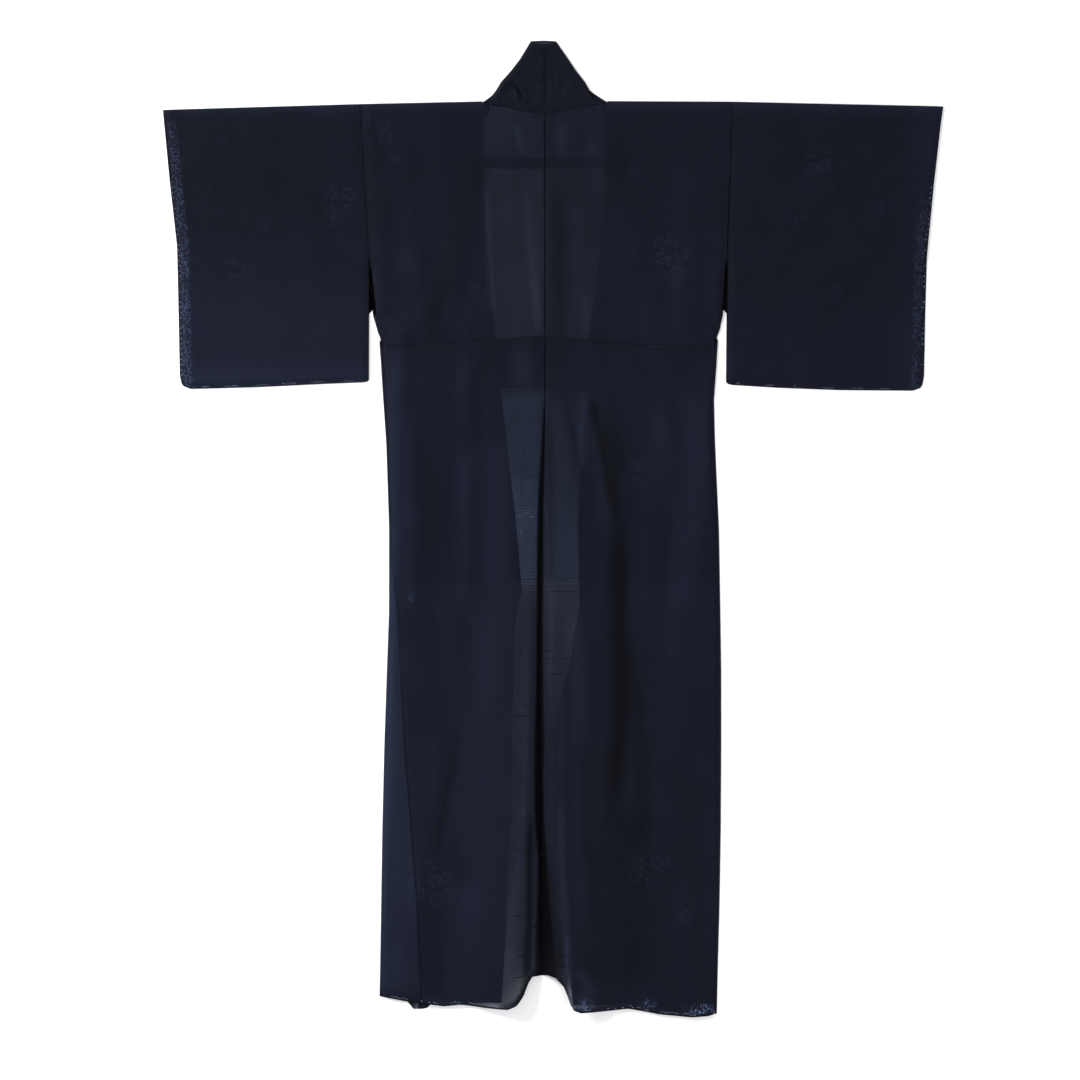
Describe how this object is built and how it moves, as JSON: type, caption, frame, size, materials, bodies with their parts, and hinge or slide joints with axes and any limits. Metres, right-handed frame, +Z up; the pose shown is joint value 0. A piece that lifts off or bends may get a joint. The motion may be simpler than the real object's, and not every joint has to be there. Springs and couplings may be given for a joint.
{
  "type": "iromuji kimono",
  "caption": "Plain-coloured unlined summer kimono of dark sheer silk gauze, laid flat with the back up and the wide collar spread open behind the neck.",
  "frame": {"origin": "centre of the garment's outline, on the surface that it lies on", "axes": "+Z up from the surface, +Y from the hem towards the collar, +X towards the wearer's right sleeve as the back is seen"},
  "size_m": [1.35, 1.6893, 0.0248],
  "materials": {
    "cloth": "sheer silk gauze in dark navy with a faint woven flower ground, soft sheen",
    "collar_cloth": "two layers of the same navy silk gauze",
    "lining_cloth": "thin sheer navy lining silk"
  },
  "bodies": {
    "root": {"body_left": "cloth", "body_right": "cloth", "sleeve_left": "cloth", "sleeve_right": "cloth", "okumi_left": "cloth", "okumi_right": "cloth", "over_collar": "collar_cloth", "collar_left": "collar_cloth", "collar_right": "collar_cloth", "shoulder_lining": "lining_cloth", "seat_lining": "lining_cloth"}
  },
  "joints": []
}
